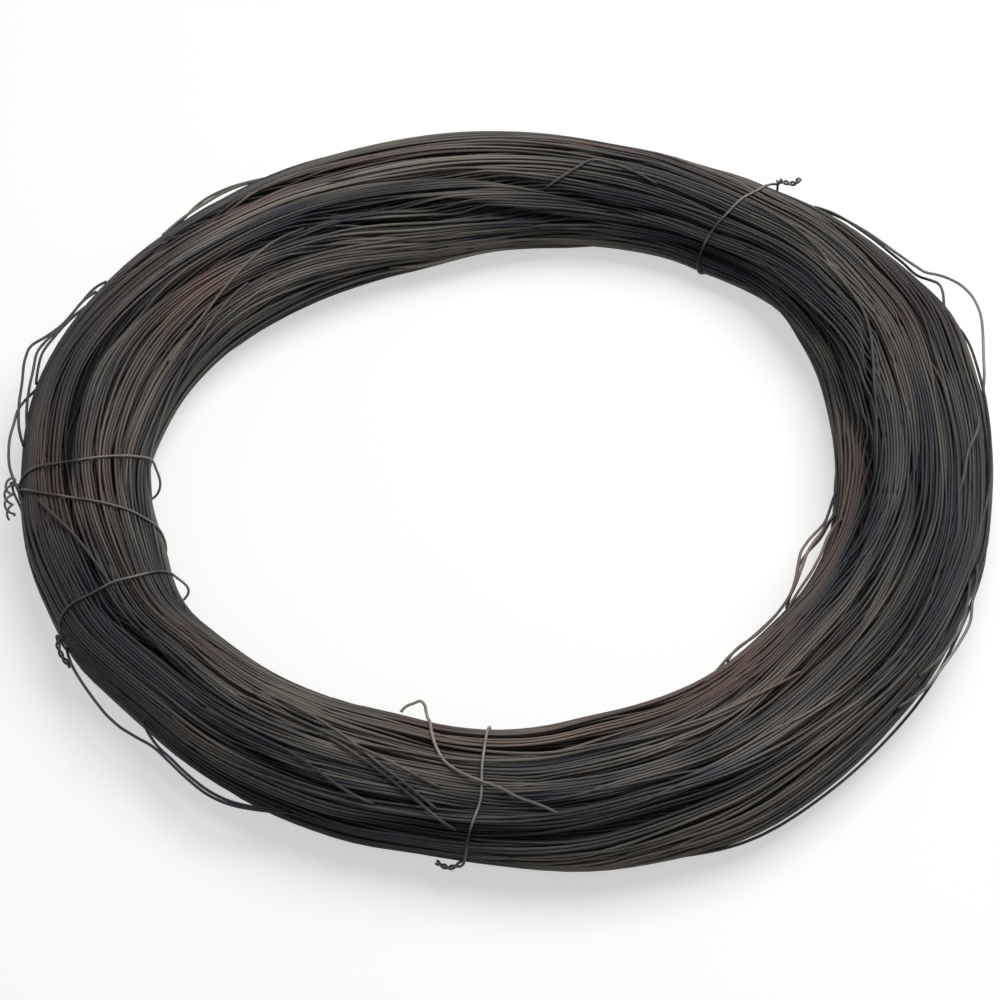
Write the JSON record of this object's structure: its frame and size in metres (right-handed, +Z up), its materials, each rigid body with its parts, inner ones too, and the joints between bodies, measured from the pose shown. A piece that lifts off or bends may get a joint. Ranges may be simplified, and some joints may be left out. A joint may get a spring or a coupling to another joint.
{
  "type": "coil of binding wire",
  "caption": "Coil of black annealed steel binding wire, hand wound into a flat open ring and held by short twisted wire ties.",
  "frame": {"origin": "on the floor under the middle of the coil's outline", "axes": "+Z up along the coil's axis, +Y away from the picture's camera, +X to the picture's right"},
  "size_m": [0.527, 0.5197, 0.05],
  "materials": {
    "annealed_wire": "black annealed, dull oxide scale with brown rust tints",
    "tie_wire": "annealed, rubbed a little brighter where it is drawn tight"
  },
  "bodies": {
    "root": {"wire_coil": "annealed_wire", "tie_left": "tie_wire", "tie_front_left": "tie_wire", "tie_front": "tie_wire", "tie_back_right": "tie_wire"}
  },
  "joints": []
}
